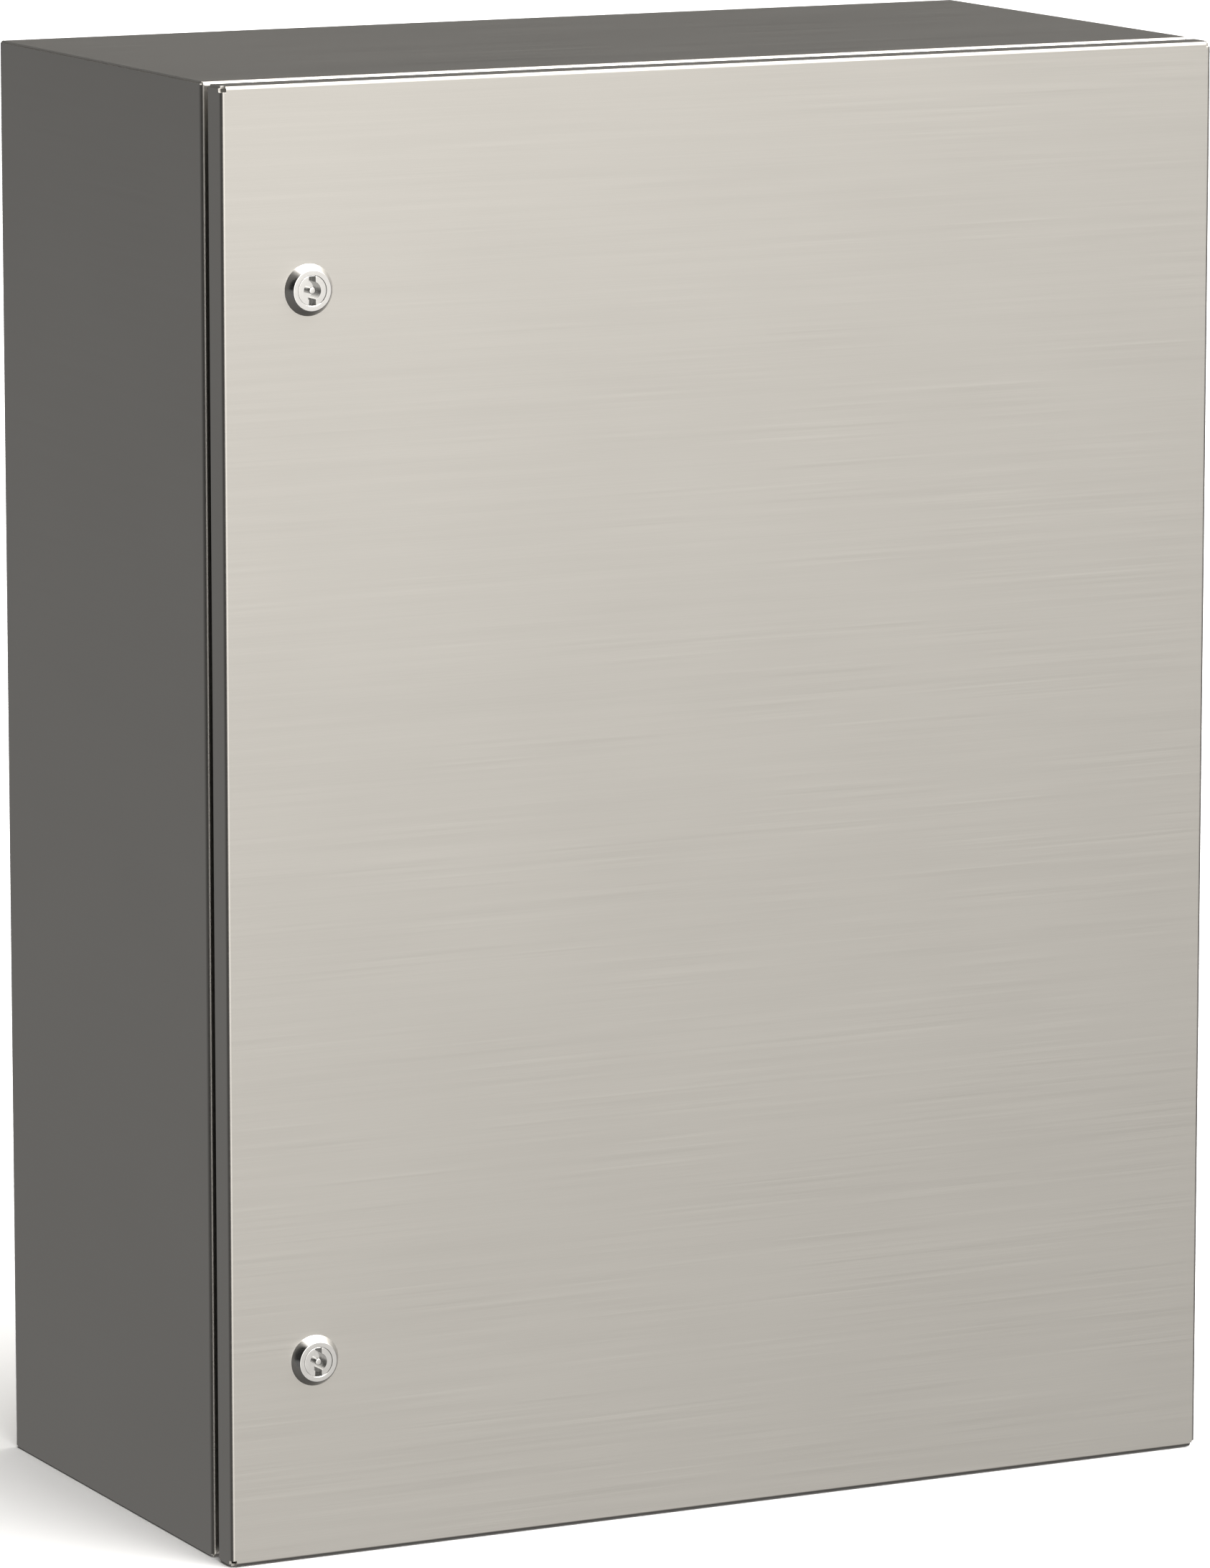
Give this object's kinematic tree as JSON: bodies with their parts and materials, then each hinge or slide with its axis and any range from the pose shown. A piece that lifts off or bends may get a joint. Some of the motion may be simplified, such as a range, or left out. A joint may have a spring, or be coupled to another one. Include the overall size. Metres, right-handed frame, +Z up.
{
  "type": "wall-mounted electrical enclosure",
  "caption": "Stainless sheet-metal wall cabinet with a hinged door, quarter-turn key locks, foam gasket, mounting plate and bottom gland plate.",
  "frame": {"origin": "on the wall plane, at the middle of the four wall holes in the back of the body", "axes": "+X towards the hinge side, +Y into the wall, +Z up; the door faces -Y"},
  "size_m": [0.6, 0.305, 0.8],
  "materials": {
    "brushed_stainless": "fine horizontal brushed grain",
    "plain_stainless": "plain mill finish",
    "galvanised_sheet": "galvanised, faint spangle",
    "zinc_plated": "bright zinc plate",
    "cast_hinge": "satin, tumbled",
    "chromed_zinc": "satin chrome",
    "foam_gasket": "poured polyurethane foam with a closed skin",
    "gland_rubber": "cut sheet rubber",
    "seal_rubber": "moulded rubber"
  },
  "bodies": {
    "enclosure": {"back_panel": "brushed_stainless", "left_side_panel": "brushed_stainless", "right_side_panel": "brushed_stainless", "top_panel": "brushed_stainless", "bottom_panel": "brushed_stainless", "front_frame": "brushed_stainless", "gland_gasket": "gland_rubber", "gland_plate": "zinc_plated", "gland_studs": "plain_stainless", "gland_washers": "zinc_plated", "gland_nuts": "zinc_plated", "mounting_plate": "galvanised_sheet", "plate_studs": "plain_stainless", "plate_spacers": "zinc_plated", "plate_washers": "zinc_plated", "plate_nuts": "zinc_plated", "body_earth_stud": "plain_stainless", "body_earth_washer": "zinc_plated", "body_earth_nut": "zinc_plated", "upper_hinge_body_leaf": "cast_hinge", "lower_hinge_body_leaf": "cast_hinge", "hinge_screws": "zinc_plated", "hinge_nuts": "zinc_plated"},
    "door": {"door_skin": "brushed_stainless", "door_earth_stud": "plain_stainless", "door_earth_washer": "zinc_plated", "door_earth_nut": "zinc_plated", "upper_hinge_door_leaf": "cast_hinge", "lower_hinge_door_leaf": "cast_hinge", "upper_hinge_pin": "plain_stainless", "lower_hinge_pin": "plain_stainless", "door_gasket": "foam_gasket", "left_door_rail": "plain_stainless", "right_door_rail": "plain_stainless", "upper_lock_housing": "chromed_zinc", "lower_lock_housing": "chromed_zinc", "lock_seals": "seal_rubber", "lock_nuts": "zinc_plated"},
    "upper_lock": {"upper_lock_plug": "chromed_zinc", "upper_lock_cam": "zinc_plated", "upper_cam_screw": "zinc_plated"},
    "lower_lock": {"lower_lock_plug": "chromed_zinc", "lower_lock_cam": "zinc_plated", "lower_cam_screw": "zinc_plated"}
  },
  "joints": [
    {"name": "door_hinge", "type": "hinge", "parent": "enclosure", "child": "door", "pos_m": [0.292, -0.2895, 0], "axis": [0, 0, 1], "range_deg": [0, 120]},
    {"name": "upper_lock_turn", "type": "hinge", "parent": "door", "child": "upper_lock", "pos_m": [-0.25, -0.3, 0.29], "axis": [0, -1, 0], "range_deg": [0, 90]},
    {"name": "lower_lock_turn", "type": "hinge", "parent": "door", "child": "lower_lock", "pos_m": [-0.25, -0.3, -0.29], "axis": [0, -1, 0], "range_deg": [0, 90]}
  ]
}
